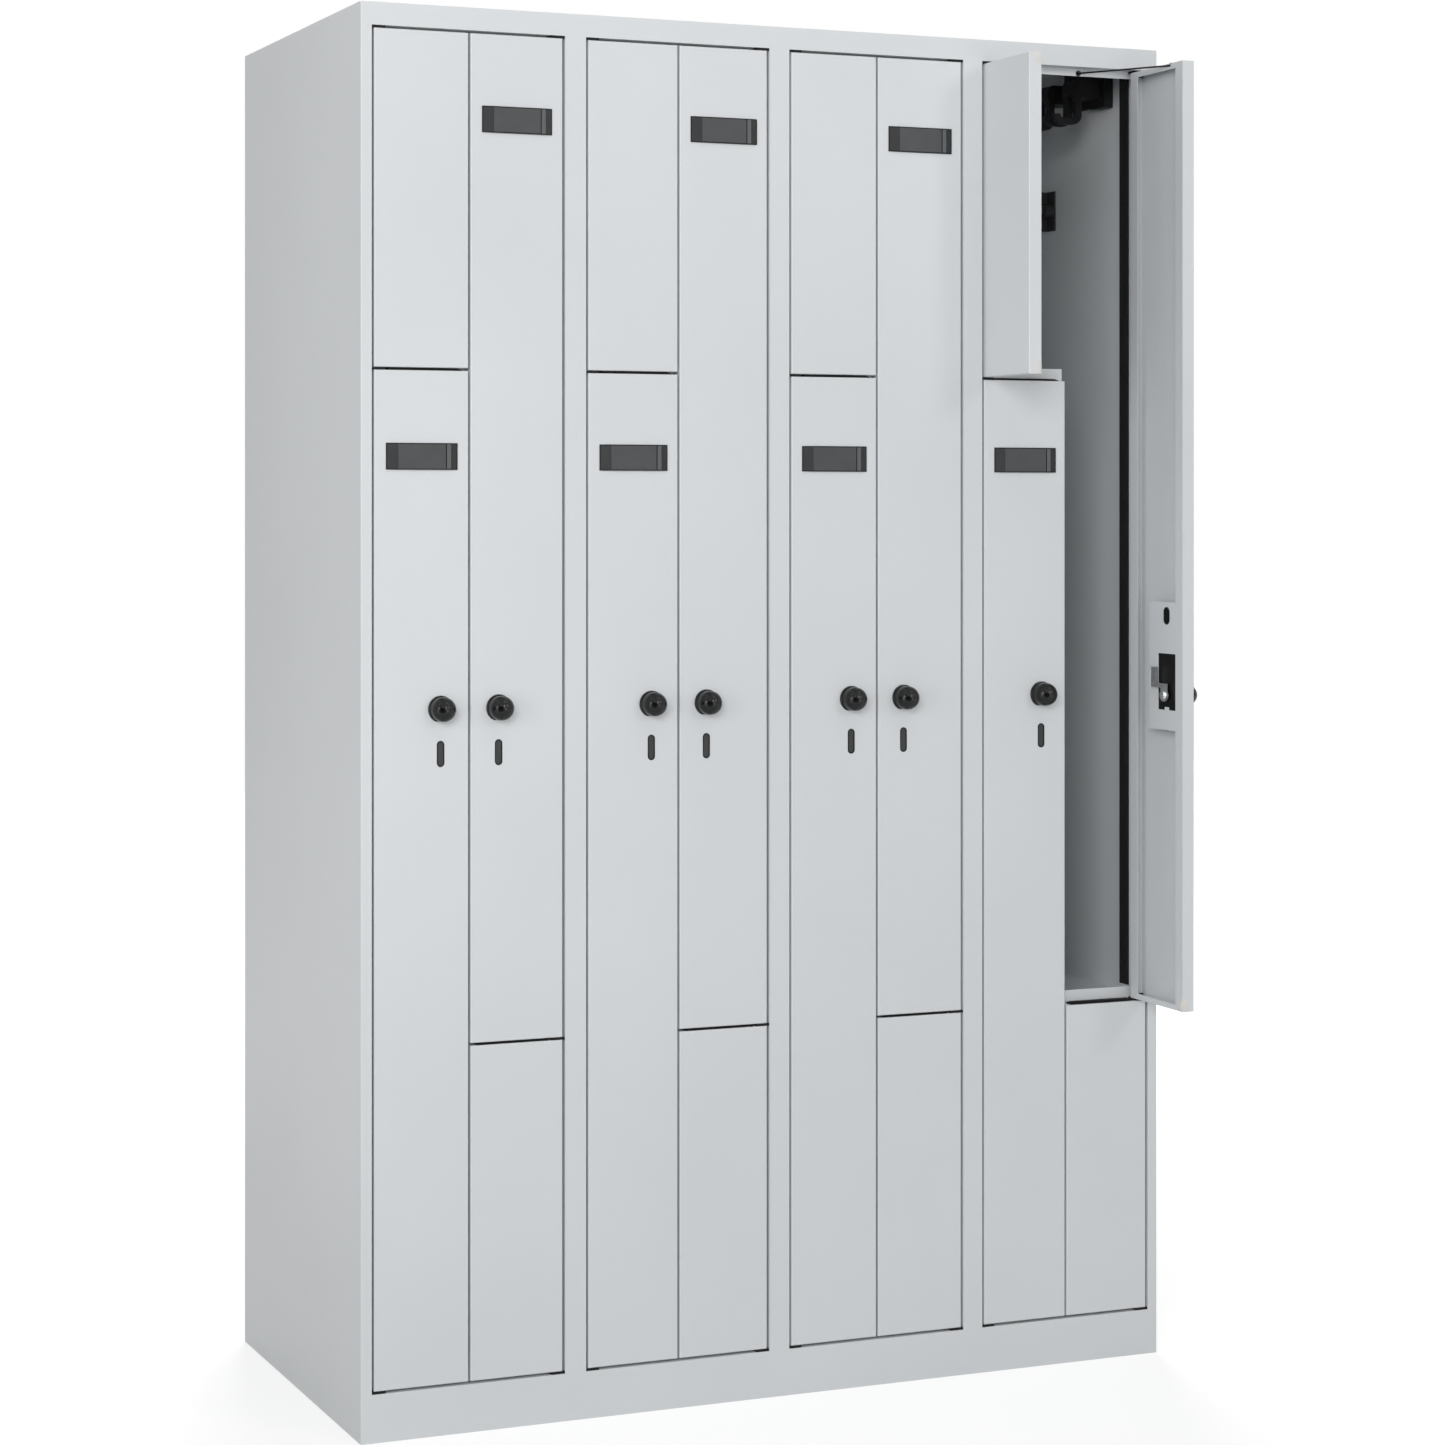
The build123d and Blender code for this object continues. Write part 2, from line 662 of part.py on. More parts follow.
# Black plastic on a tall leaf: label holder, padlock slot insert and lock case
def make_fittings(name, plane, hand, label_level):
    leaf_middle = (free_edge - hinge_inset) / 2
    label_plane = face_plane(plane, hand, leaf_middle, -hinge_depth, label_level)
    slot_plane = face_plane(plane, hand, knob_along, leaf_sheet - hinge_depth, knob_height - slot_below)
    case_plane = face_plane(plane, hand, knob_along, leaf_sheet - hinge_depth, knob_height)
    half_label = label_width / 2
    with BuildPart() as fittings:
        section = Plane(origin=label_plane.from_local_coords((0, -label_height / 2, 0)),
                        x_dir=label_plane.x_dir, z_dir=label_plane.y_dir)
        with BuildSketch(section):
            with BuildLine():
                Polyline(
                    (-half_label, 0), (-half_label, -label_edge_thick),
                    (-half_label + label_near_bevel, -label_thick),
                    (half_label - label_far_bevel, -label_thick),
                    (half_label, -label_edge_thick), (half_label, 0), close=True)
            make_face()
            with Locations((half_label - label_groove_inset, -label_thick)):
                Rectangle(label_groove_width, 2 * label_groove_depth, mode=Mode.SUBTRACT)
        extrude(amount=label_height)
        with BuildSketch(slot_plane):
            SlotOverall(slot_height - 2 * insert_clearance, slot_width - 2 * insert_clearance, rotation=90)
        extrude(amount=leaf_sheet + slot_rim_rise)
        with BuildSketch(slot_plane.offset(slot_floor)):
            SlotOverall(slot_height - 2 * slot_rim, slot_width - 2 * slot_rim, rotation=90)
        extrude(amount=leaf_sheet + slot_rim_rise, mode=Mode.SUBTRACT)
        with BuildSketch(case_plane):
            with Locations((0, cutout_above - cutout_height / 2)):
                Rectangle(cutout_width + 2 * case_overlap, cutout_height + 2 * case_overlap)
            Circle(spindle_radius + running_clearance, mode=Mode.SUBTRACT)
        extrude(amount=-(leaf_thick - 2 * leaf_sheet - case_gap))
    fittings.part.label = name
    export_step(fittings.part, f"parts/{name}.step")


# Latch knob: a flange and a dome with a ringed hole, a valley above it and a flat underneath, on its spindle
def make_knob(name, plane, hand):
    seat = face_plane(plane, hand, knob_along, -hinge_depth - knob_seat_gap, knob_height)
    spindle_length = knob_seat_gap + cam_front
    crown_height = knob_dome_middle + knob_grip_radius
    dome_middle = seat.offset(knob_dome_middle)
    with BuildPart() as knob:
        with BuildSketch(seat):
            Circle(knob_radius)
        extrude(amount=knob_flange)
        rim = knob.faces().sort_by(Axis(seat.origin, seat.z_dir))[-1]
        fillet(rim.edges(), knob_flange_rounding)
        with BuildSketch(seat.offset(knob_flange)):
            Circle(knob_grip_radius)
        extrude(amount=knob_dome_middle - knob_flange)
        with Locations(dome_middle):
            Sphere(knob_grip_radius, arc_size1=0, align=(Align.CENTER, Align.CENTER, Align.NONE))
        with BuildSketch(seat):
            with Locations((0, -knob_flat - knob_radius)):
                Rectangle(2 * knob_radius, 2 * knob_radius)
        extrude(amount=crown_height, mode=Mode.SUBTRACT)
        crown = seat.offset(crown_height)
        for radius, floor in ((knob_recess_radius, knob_recess_floor), (knob_hole_radius, knob_hole_floor)):
            with BuildSketch(crown):
                with Locations((-knob_hole_inset, 0)):
                    Circle(radius)
            extrude(amount=floor - crown_height, mode=Mode.SUBTRACT)
        upright = Plane(origin=dome_middle.origin, x_dir=seat.x_dir, z_dir=-seat.y_dir)
        with BuildSketch(upright):
            with BuildLine():
                Polyline(
                    (-knob_hole_inset, knob_valley_floor),
                    (-knob_hole_inset - knob_valley_half, knob_radius),
                    (-knob_hole_inset + knob_valley_half, knob_radius), close=True)
            make_face()
        revolve(axis=Axis(upright.origin, -seat.x_dir), revolution_arc=knob_valley_arc, mode=Mode.SUBTRACT)
        with BuildSketch(seat):
            Circle(spindle_radius)
        extrude(amount=-spindle_length)
        with BuildSketch(seat.offset(-spindle_length)):
            Circle(stub_radius)
        extrude(amount=-cam_sheet)
        with BuildSketch(seat.offset(-spindle_length - cam_sheet)):
            Circle(stub_pilot_radius)
        extrude(amount=2 * cam_sheet, mode=Mode.SUBTRACT)
    knob.part.label = name
    export_step(knob.part, f"parts/{name}.step")


# Latch cam on the spindle's end, bent away to the hinge side at rest, and the slotted screw that holds it
def make_cam(name, plane, hand):
    seat = face_plane(plane, hand, knob_along, cam_front - hinge_depth, knob_height)
    with BuildPart() as cam:
        with BuildSketch(seat):
            with BuildLine():
                Polyline(
                    (hand * cam_leg_half, 0), (hand * cam_leg_half, cam_bend),
                    (-hand * cam_tab_near, cam_bend), (-hand * cam_tab_near, cam_tab_top),
                    (-hand * cam_tab_far, cam_tab_top), (-hand * cam_tab_far, cam_foot),
                    (-hand * cam_leg_half, cam_foot), (-hand * cam_leg_half, 0), close=True)
            make_face()
            Circle(cam_hub_radius)
            Circle(stub_radius + running_clearance, mode=Mode.SUBTRACT)
        extrude(amount=-cam_sheet)
        with BuildSketch(seat.offset(-cam_sheet)):
            Circle(screw_head_radius)
        extrude(amount=-screw_head_rise)
        screw_top = cam.faces().sort_by(Axis(seat.origin, seat.z_dir))[0]
        fillet(screw_top.edges(), screw_head_rise / 2)
        with BuildSketch(seat.offset(-cam_sheet - screw_head_rise)):
            Rectangle(2 * screw_head_radius, screw_slot_width, rotation=cam_screw_angle)
        extrude(amount=screw_slot_depth, mode=Mode.SUBTRACT)
        with BuildSketch(seat.offset(-cam_sheet)):
            Circle(stub_pilot_radius - running_clearance)
        extrude(amount=2 * cam_sheet - running_clearance)
    cam.part.label = name
    export_step(cam.part, f"parts/{name}.step")


# Stay rod: pinned under the top of an upper tall leaf, its ball end behind the eye in the header
def stay_pin_place(index, angle):
    """Where the stay's pin stands when the right leaf is open by an angle."""
    place = leaf_plane(index, -1, angle).from_local_coords((stay_along, -stay_inside, 0))
    return Vector(place)


def stay_ball_open(index):
    x = compartment_left(index) + pitch - pivot_inset - stay_eye_inset
    return Vector(x, front + stop_depth + frame_sheet + stay_ball_gap, 0)


def stay_heading(index, angle):
    """The rod's heading in degrees: it turns by a fixed share of the leaf's own turn."""
    reach = stay_ball_open(index) - stay_pin_place(index, open_angle)
    open_heading = math.degrees(math.atan2(reach.Y, reach.X))
    return open_heading - (1 - stay_turn_share) * (open_angle - angle)


def stay_eye(index):
    """Middle and radius of the hole that clears the rod over the leaf's whole travel."""
    crossings = []
    for step in range(stay_steps + 1):
        angle = open_angle * step / stay_steps
        pin = stay_pin_place(index, angle)
        slope = math.tan(math.radians(stay_heading(index, angle)))
        for inside in (stop_depth - grommet_thick, stop_depth + frame_sheet):
            crossings.append(pin.X + (front + inside - pin.Y) / slope)
    rod_half = stay_radius / math.sin(math.radians(stay_heading(index, open_angle)))
    spread = max(crossings) - min(crossings)
    return min(crossings) + spread / 2, spread / 2 + rod_half + stay_side_clearance


def stay_notch(index):
    """Ends, along the leaf, of the notch in its rear flange that clears the rod over the whole travel."""
    crossings = []
    for step in range(stay_steps + 1):
        angle = open_angle * step / stay_steps
        toward = math.radians(stay_heading(index, angle) - 180 - angle)
        rod_half = stay_radius / abs(math.sin(toward)) + stay_side_clearance
        for inside in (inner_depth - leaf_sheet, inner_depth):
            along = stay_along + (stay_inside - inside) / math.tan(toward)
            crossings += [along - rod_half, along + rod_half]
    return min(crossings), max(crossings)


def make_stay(name, index, angle):
    pin = stay_pin_place(index, angle)
    length = (stay_ball_open(index) - stay_pin_place(index, open_angle)).length
    heading = math.radians(stay_heading(index, angle))
    along = Vector(math.cos(heading), math.sin(heading), 0)
    start = Vector(pin.X, pin.Y, stay_level)
    with BuildPart() as stay:
        with BuildSketch(Plane(origin=start, z_dir=along)):
            Circle(stay_radius)
        extrude(amount=length)
        with Locations(Plane(origin=start + along * length, z_dir=along)):
            Sphere(stay_ball_radius)
        with BuildSketch(Plane.XY.offset(stay_level - stay_pin_foot)):
            with Locations((pin.X, pin.Y)):
                Circle(stay_pin_radius)
        extrude(amount=leaf_top + stay_head_gap + stay_head_thick - stay_level + stay_pin_foot)
        with BuildSketch(Plane.XY.offset(leaf_top + stay_head_gap)):
            with Locations((pin.X, pin.Y)):
                Circle(stay_head_radius)
        extrude(amount=stay_head_thick)
    stay.part.label = name
    export_step(stay.part, f"parts/{name}.step")


make_front_frame()
make_shell()
make_base()
make_bushes()
make_strips()
make_hooks()
make_rails()
for index in range(compartments):
    number = index + 1
    make_divider(index)
    stands_open = index == compartments - 1
    opened = open_angle if stands_open else 0
    small_opened = small_open_angle if stands_open else 0
    make_leaf(f"small_leaf_upper_{number}", index, 1, upper_seam_top, leaf_top, small_opened, False)
    make_leaf(f"small_leaf_lower_{number}", index, -1, leaf_bottom, lower_seam_bottom, 0, False)
    make_leaf(f"tall_leaf_left_{number}", index, 1, leaf_bottom, upper_seam_bottom, 0, True)
    make_leaf(f"tall_leaf_right_{number}", index, -1, lower_seam_top, leaf_top, opened, True)
    left_plane = leaf_plane(index, 1, 0)
    right_plane = leaf_plane(index, -1, opened)
    make_fittings(f"fittings_left_{number}", left_plane, 1, upper_seam_bottom - label_left_drop)
    make_fittings(f"fittings_right_{number}", right_plane, -1, leaf_top - label_right_drop)
    make_knob(f"knob_left_{number}", left_plane, 1)
    make_knob(f"knob_right_{number}", right_plane, -1)
    make_cam(f"cam_left_{number}", left_plane, 1)
    make_cam(f"cam_right_{number}", right_plane, -1)
    make_stay(f"stay_rod_{number}", index, opened)
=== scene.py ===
import bpy
import bmesh
import json
import math
from mathutils import Matrix, Vector


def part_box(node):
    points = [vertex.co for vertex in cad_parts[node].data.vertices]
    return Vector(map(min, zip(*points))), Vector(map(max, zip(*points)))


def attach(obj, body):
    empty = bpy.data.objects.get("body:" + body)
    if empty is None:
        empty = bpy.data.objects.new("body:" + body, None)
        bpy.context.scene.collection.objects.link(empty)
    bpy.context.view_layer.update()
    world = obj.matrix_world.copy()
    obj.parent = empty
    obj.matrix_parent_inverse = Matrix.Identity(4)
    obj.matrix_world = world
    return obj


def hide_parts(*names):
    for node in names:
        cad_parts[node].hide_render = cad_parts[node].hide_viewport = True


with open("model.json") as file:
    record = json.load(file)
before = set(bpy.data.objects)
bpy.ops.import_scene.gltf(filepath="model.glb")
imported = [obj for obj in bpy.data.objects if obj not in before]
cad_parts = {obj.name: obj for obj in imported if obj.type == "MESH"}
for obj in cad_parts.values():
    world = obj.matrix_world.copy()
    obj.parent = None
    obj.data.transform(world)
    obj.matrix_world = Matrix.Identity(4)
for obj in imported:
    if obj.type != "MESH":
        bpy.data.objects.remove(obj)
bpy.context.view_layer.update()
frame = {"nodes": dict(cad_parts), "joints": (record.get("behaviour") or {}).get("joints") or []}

joints = {joint["name"]: joint for joint in frame["joints"]}
MM = 0.001

# Leaves: distances from the hinge axis, in metres
BAYS = 4
LEAF_THICK = 18.5 * MM
HINGE_DEPTH = 4.5 * MM
FREE_EDGE = 125.5 * MM
LEAF_REAR = LEAF_THICK - HINGE_DEPTH
BUSH_END = 15.0 * MM

# Edges of the drawn pieces
SHARP_ANGLE = math.radians(35)
BEVEL_PROFILE = 0.7
BEVEL_SEGMENTS = 2

# Label holder
LABEL_WIDTH = 98.5 * MM
LABEL_HEIGHT = 34.5 * MM
LABEL_THICK = 2.6 * MM
LABEL_EDGE_THICK = 1.2 * MM
LABEL_NEAR = 16.0 * MM
LABEL_BEVEL = 9.5 * MM
LABEL_GRIP = 16.0 * MM
LABEL_RIM = 1.4 * MM
LABEL_JOINT = 0.5 * MM
LABEL_RISE = 0.25 * MM

# Knob: flange, wall and dome
KNOB_SEAT = 0.3 * MM
KNOB_FLANGE_RADIUS = 17.5 * MM
KNOB_FLANGE = 3.3 * MM
KNOB_RIM_DROP = 0.9 * MM
KNOB_RIM_SHOULDER = 0.25 * MM
KNOB_RIM_INSET = 0.8 * MM
KNOB_FOOT_FLARE = 0.1 * MM
KNOB_FOOT_STEP = 0.02 * MM
KNOB_FOOT_RISE = 0.4 * MM
KNOB_RADIUS = 16.0 * MM
KNOB_MIDDLE = 11.9 * MM
KNOB_WALL_GAP = 1.5 * MM
KNOB_FLAT = 15.8 * MM
KNOB_RINGS = 48
KNOB_SEGMENTS = 144

# Knob: hole, ring round it and valley
KNOB_HOLE_X = -6.6 * MM
KNOB_HOLE_RADIUS = 2.4 * MM
KNOB_HOLE_DEPTH = 4.0 * MM
KNOB_RECESS_RADIUS = 4.2 * MM
KNOB_RECESS_DEPTH = 1.6 * MM
KNOB_HOLE_SOFTNESS = 0.5 * MM
KNOB_VALLEY_DEPTH = 3.6 * MM
KNOB_VALLEY_WIDTH = 2.6 * MM
KNOB_VALLEY_SHALLOW_SHARE = 0.12
KNOB_VALLEY_START = -KNOB_RADIUS / 3
KNOB_VALLEY_END = KNOB_RADIUS / 6
KNOB_VALLEY_FADE_SHARE = 0.93

# Pale buffers in the free edge's ends
BUFFER_HEIGHT = 17.0 * MM
BUFFER_END_GAP = 0.3 * MM
BUFFER_FRONT = 3.5 * MM
BUFFER_INWARDS = 10.0 * MM
BUFFER_PROUD = 0.02 * MM
BUFFER_REAR_PROUD = 0.2 * MM
BUFFER_BEVEL = 0.3 * MM
BUFFER_PAD = 1.3 * MM
BUFFER_PAD_START = 2.5 * MM
BUFFER_PAD_HEIGHT = 11.5 * MM
BUFFER_PAD_BEVEL = 0.5 * MM
BUFFER_PAD_SEGMENTS = 3

# Black strips on the top edge of the leaf under each seam: painted shade, dark pieces that make the seams
# read dark
SHADE_STRIP_RISE = 3.1 * MM
SHADE_STRIP_FRONT = 2.5 * MM
SHADE_STRIP_REAR = 1.5 * MM
SHADE_STRIP_START_GAP = 1.0 * MM
SHADE_STRIP_END_GAP = 9.0 * MM
SHADE_STRIP_TAPER = 6.0 * MM
SHADE_STRIP_END_SHARE = 0.35
SHADE_STRIP_CHAMFER = 0.5 * MM
SHADE_STRIP_BEAD = 2.6 * MM
SHADE_STRIP_BEAD_RISE = 0.25 * MM

# Oval plugs in the lock plates
PLUG_WIDTH = 15.0 * MM
PLUG_HEIGHT = 24.6 * MM
PLUG_SUNK = 0.5 * MM
PLUG_PROUD = 0.5 * MM
PLUG_CHAMFER = 0.25 * MM
PLUG_RIM = 2.4 * MM
PLUG_SLOPE = 0.3 * MM
PLUG_STEP = 0.9 * MM
PLUG_ABOVE_KNOB = 110.0 * MM
PLUG_SEGMENTS = 24

# Floors of the padlock slots
SLOT_WIDTH = 7.3 * MM
SLOT_HEIGHT = 30.8 * MM
SLOT_BELOW_KNOB = 58.0 * MM
SLOT_LOW = -0.55 * MM
SLOT_HIGH = -0.15 * MM

# Noise, in features per metre, and the part of it that shows
NOISE_DETAIL = 3.0
NOISE_DETAIL_LOW = 2.0
NOISE_ROUGHNESS = 0.5
NOISE_START = 0.3
NOISE_END = 0.7

# Powder coat
COAT_BROAD = 3.0
COAT_GRAIN = 900.0
COAT_ROUGH = (0.36, 0.44)
COAT_BUMP = 0.12
COAT_BUMP_HEIGHT = 0.06 * MM

# Moulded plastic and rubber
PLASTIC_BROAD = 30.0
PLASTIC_GRAIN = 1400.0
PLASTIC_BUMP = 0.2
PLASTIC_BUMP_HEIGHT = 0.05 * MM

# Zinc plate, drawn lengthways
ZINC_SPANGLE = 160.0
ZINC_DRAWN = 260.0
ZINC_DRAWN_DETAIL = 4.0
ZINC_DRAWN_ROUGHNESS = 0.6
ZINC_DRAWN_STRETCH = (1.0, 1.0, 12.0)
ZINC_ROUGH = (0.26, 0.42)
ZINC_BUMP = 0.15
ZINC_BUMP_HEIGHT = 0.04 * MM

# Camera
CAMERA_PLACE = (-1.85915, -3.80581, 1.20275)
CAMERA_YAW = -0.35246
CAMERA_LENS = 73.379
CAMERA_SHIFT = (0.22563, -0.14983)

# Floor: its tone, and how far it is lifted to white near the object and away from it
FLOOR_SIZE = 16.0
FLOOR_GRAIN = 300.0
FLOOR_DARK = 0.39
FLOOR_LIGHT = 0.41
FLOOR_ROUGHNESS = 0.9
FLOOR_LIFT_NEAR = 0.64
FLOOR_LIFT_FAR = 1.0
FLOOR_NEAR = 0.9
FLOOR_FAR = 3.2

# World, and lamps: name, place, target, size and power
WHITE = (1.0, 1.0, 1.0, 1.0)
WORLD_COLOUR = (0.985, 0.992, 1.0, 1.0)
WORLD_STRENGTH = 0.3
WHITE_STRENGTH = 1.0
LAMPS = (
    ("front_left", (-3.0, -4.5, 2.6), (0.2, -0.1, 0.9), (2.0, 2.0), 120.0),
    ("left", (-4.0, -2.2, 1.4), (0.5, -0.4, 1.0), (1.2, 2.6), 38.0),
    ("low", (0.3, -5.5, 0.6), (0.2, 0, 0.6), (3.0, 1.0), 38.0),
    ("top", (0.3, -2.0, 4.4), (0.2, -0.2, 1.0), (3.0, 1.5), 16.0),
    ("right", (2.9, -5.3, 3.5), (0.1, 0, 1.0), (1.2, 1.2), 36.0),
    ("back", (1.8, 4.6, 2.6), (0, 0, 0.9), (2.5, 2.5), 170.0),
)


# Node helpers
def new_material(name):
    material = bpy.data.materials.new(name)
    material.use_nodes = True
    tree = material.node_tree
    shader = tree.nodes["Principled BSDF"]
    return material, tree, shader


def add_noise(tree, scale, detail=NOISE_DETAIL, roughness=NOISE_ROUGHNESS, stretch=(1.0, 1.0, 1.0)):
    """Noise over the object's own coordinates, in features per metre."""
    place = tree.nodes.new("ShaderNodeTexCoord")
    mapping = tree.nodes.new("ShaderNodeMapping")
    mapping.inputs["Scale"].default_value = stretch
    tree.links.new(place.outputs["Object"], mapping.inputs["Vector"])
    noise = tree.nodes.new("ShaderNodeTexNoise")
    noise.inputs["Scale"].default_value = scale
    noise.inputs["Detail"].default_value = detail
    noise.inputs["Roughness"].default_value = roughness
    tree.links.new(mapping.outputs["Vector"], noise.inputs["Vector"])
    return noise.outputs["Fac"]


def add_range(tree, value, low, high, start=NOISE_START, end=NOISE_END):
    ranged = tree.nodes.new("ShaderNodeMapRange")
    ranged.inputs["From Min"].default_value = start
    ranged.inputs["From Max"].default_value = end
    ranged.inputs["To Min"].default_value = low
    ranged.inputs["To Max"].default_value = high
    tree.links.new(value, ranged.inputs["Value"])
    return ranged.outputs["Result"]


def add_tone(tree, shader, noise, dark, light):
    """A base colour that the noise moves between two linear tones."""
    mix = tree.nodes.new("ShaderNodeMix")
    mix.data_type = "RGBA"
    mix.inputs["A"].default_value = (*dark, 1.0)
    mix.inputs["B"].default_value = (*light, 1.0)
    tree.links.new(add_range(tree, noise, 0.0, 1.0), mix.inputs["Factor"])
    tree.links.new(mix.outputs["Result"], shader.inputs["Base Color"])


def add_roughness(tree, shader, noise, low, high):
    tree.links.new(add_range(tree, noise, low, high), shader.inputs["Roughness"])


def add_bump(tree, shader, height, strength, distance):
    bump = tree.nodes.new("ShaderNodeBump")
    bump.inputs["Strength"].default_value = strength
    bump.inputs["Distance"].default_value = distance
    tree.links.new(height, bump.inputs["Height"])
    tree.links.new(bump.outputs["Normal"], shader.inputs["Normal"])


def linear(red, green, blue):
    """A screen colour, 0 to 255, as the linear one that a shader takes."""
    return tuple(((v / 255 + 0.055) / 1.055) ** 2.4 for v in (red, green, blue))


# Materials
def make_coat():
    material, tree, shader = new_material("powder_coat")
    broad = add_noise(tree, COAT_BROAD, NOISE_DETAIL_LOW)
    grain = add_noise(tree, COAT_GRAIN, NOISE_DETAIL_LOW)
    add_tone(tree, shader, broad, linear(205, 208, 210), linear(209, 212, 214))
    add_roughness(tree, shader, grain, *COAT_ROUGH)
    add_bump(tree, shader, grain, COAT_BUMP, COAT_BUMP_HEIGHT)
    return material


def make_plastic(name, dark, light, low_rough, high_rough, gloss):
    material, tree, shader = new_material(name)
    grain = add_noise(tree, PLASTIC_GRAIN, NOISE_DETAIL_LOW)
    broad = add_noise(tree, PLASTIC_BROAD)
    add_tone(tree, shader, broad, linear(*dark), linear(*light))
    add_roughness(tree, shader, grain, low_rough, high_rough)
    shader.inputs["Specular IOR Level"].default_value = gloss
    add_bump(tree, shader, grain, PLASTIC_BUMP, PLASTIC_BUMP_HEIGHT)
    return material


def make_zinc():
    material, tree, shader = new_material("zinc_plate")
    spangle = add_noise(tree, ZINC_SPANGLE)
    drawn = add_noise(tree, ZINC_DRAWN, ZINC_DRAWN_DETAIL, ZINC_DRAWN_ROUGHNESS, ZINC_DRAWN_STRETCH)
    add_tone(tree, shader, spangle, linear(222, 223, 224), linear(240, 241, 241))
    shader.inputs["Metallic"].default_value = 1.0
    add_roughness(tree, shader, drawn, *ZINC_ROUGH)
    add_bump(tree, shader, drawn, ZINC_BUMP, ZINC_BUMP_HEIGHT)
    return material


materials = {
    "coat": make_coat(),
    "plastic": make_plastic("black_plastic", (13, 13, 14), (18, 18, 19), 0.45, 0.58, 0.2),
    "dark_plastic": make_plastic("dark_plastic", (28, 28, 29), (33, 33, 34), 0.4, 0.5, 0.25),
    "grey_plastic": make_plastic("grey_plastic", (46, 47, 48), (52, 53, 54), 0.4, 0.5, 0.3),
    "label_side": make_plastic("label_side", (46, 47, 48), (52, 53, 54), 0.38, 0.46, 0.2),
    "label": make_plastic("label_cover", (68, 69, 70), (74, 75, 76), 0.36, 0.44, 0.25),
    "label_grip": make_plastic("label_grip", (86, 87, 88), (92, 93, 94), 0.36, 0.44, 0.25),
    "knob": make_plastic("knob_plastic", (13, 14, 14), (17, 18, 18), 0.18, 0.22, 0.3),
    "steel": make_zinc(),
    "black_steel": make_plastic("black_coated_steel", (12, 12, 13), (17, 17, 18), 0.35, 0.45, 0.25),
    # Darkest, dullest black: on the seam strips it is painted shade; on each knob it covers the ring round
    # the hole and the hole
    "rubber": make_plastic("black_rubber", (9, 9, 10), (13, 13, 14), 0.55, 0.66, 0.15),
    "cream": make_plastic("cream_plastic", (210, 208, 204), (215, 213, 209), 0.4, 0.5, 0.4),
}


# Materials on the frame's nodes, by what each one is made of
def node_material(name):
    if name.startswith(("fittings", "hinge_bushes")):
        return materials["plastic"]
    if name.startswith(("jamb_strips", "coat_hooks")):
        return materials["dark_plastic"]
    if name == "coat_rails":
        return materials["grey_plastic"]
    if name.startswith("knob"):
        return materials["knob"]
    if name.startswith(("cam", "levelling_feet")):
        return materials["steel"]
    if name.startswith("stay_rod"):
        return materials["black_steel"]
    return materials["coat"]


def dress_nodes():
    for name, node in frame["nodes"].items():
        node.data.materials.clear()
        node.data.materials.append(node_material(name))


# A leaf's own frame: X from the hinge to the free edge, Y inwards, Z up
def leaf_matrix(body):
    joint = joints[f"{body}_hinge"]
    hand = -joint["axis"][2]
    opened = -joint["range_deg"][0]
    turn = math.radians(-hand * opened)
    along = Vector((hand * math.cos(turn), hand * math.sin(turn), 0))
    inwards = Vector((-along.y, along.x, 0)) * hand
    place = Vector(joint["pos_m"])
    matrix = Matrix.Identity(4)
    for row in range(3):
        matrix[row][0] = along[row]
        matrix[row][1] = inwards[row]
    matrix[0][3] = place.x
    matrix[1][3] = place.y
    return matrix


def face_matrix(body, along, level):
    """On a leaf's outer face: X to the right when the leaf is closed, Y up, Z outwards."""
    leaf = leaf_matrix(body)
    hand = -joints[f"{body}_hinge"]["axis"][2]
    matrix = Matrix.Identity(4)
    for row in range(3):
        matrix[row][0] = leaf[row][0] * hand
        matrix[row][1] = (0, 0, 1)[row]
        matrix[row][2] = -leaf[row][1]
    matrix.translation = leaf @ Vector((along, -HINGE_DEPTH, level))
    return matrix


def knob_place(side, number):
    """How far along its leaf a latch knob sits, and how high."""
    joint = joints[f"latch_{side}_{number}_turn"]
    place = leaf_matrix(f"tall_{side}_{number}").inverted() @ Vector(joint["pos_m"])
    return place.x, joint["pos_m"][2]


# Mesh helpers
def finish_piece(mesh, name, matrix, body, material, smooth=True):
    """Turns a bmesh in local coordinates into a piece that rides on a body."""
    mesh.transform(matrix)
    bmesh.ops.recalc_face_normals(mesh, faces=mesh.faces)
    data = bpy.data.meshes.new(name)
    mesh.to_mesh(data)
    mesh.free()
    data.materials.append(materials[material])
    for polygon in data.polygons:
        polygon.use_smooth = smooth
    if smooth:
        data.set_sharp_from_angle(angle=SHARP_ANGLE)
    piece = bpy.data.objects.new(name, data)
    bpy.context.scene.collection.objects.link(piece)
    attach(piece, body)
    return piece


def add_box(mesh, low, high, bevel, segments=BEVEL_SEGMENTS):
    made = bmesh.ops.create_cube(mesh, size=1.0)["verts"]
    for vertex in made:
        for axis in range(3):
            vertex.co[axis] = high[axis] if vertex.co[axis] > 0 else low[axis]
    edges = {edge for vertex in made for edge in vertex.link_edges}
    bmesh.ops.bevel(mesh, geom=list(edges), offset=bevel, segments=segments, profile=BEVEL_PROFILE,
                    affect="EDGES")


def add_bands(mesh, rings):
    """Faces between each ring of points and the next one."""
    for lower, upper in zip(rings, rings[1:]):
        for step in range(len(lower)):
            after = (step + 1) % len(lower)
            mesh.faces.new((lower[step], lower[after], upper[after], upper[step]))


def add_prism(mesh, outline, low, high, place):
    """A straight bar with a given outline between two levels; place turns (u, v, level) into a point."""
    rings = [[mesh.verts.new(place(u, v, level)) for u, v in outline] for level in (low, high)]
    add_bands(mesh, rings)
    mesh.faces.new(list(reversed(rings[0])))
    mesh.faces.new(rings[1])


def oval(width, height):
    straight = (height - width) / 2
    points = []
    for step in range(PLUG_SEGMENTS):
        turn = 2 * math.pi * (step + 0.5) / PLUG_SEGMENTS
        shift = straight if math.sin(turn) > 0 else -straight
        points.append((width / 2 * math.cos(turn), shift + width / 2 * math.sin(turn)))
    return points


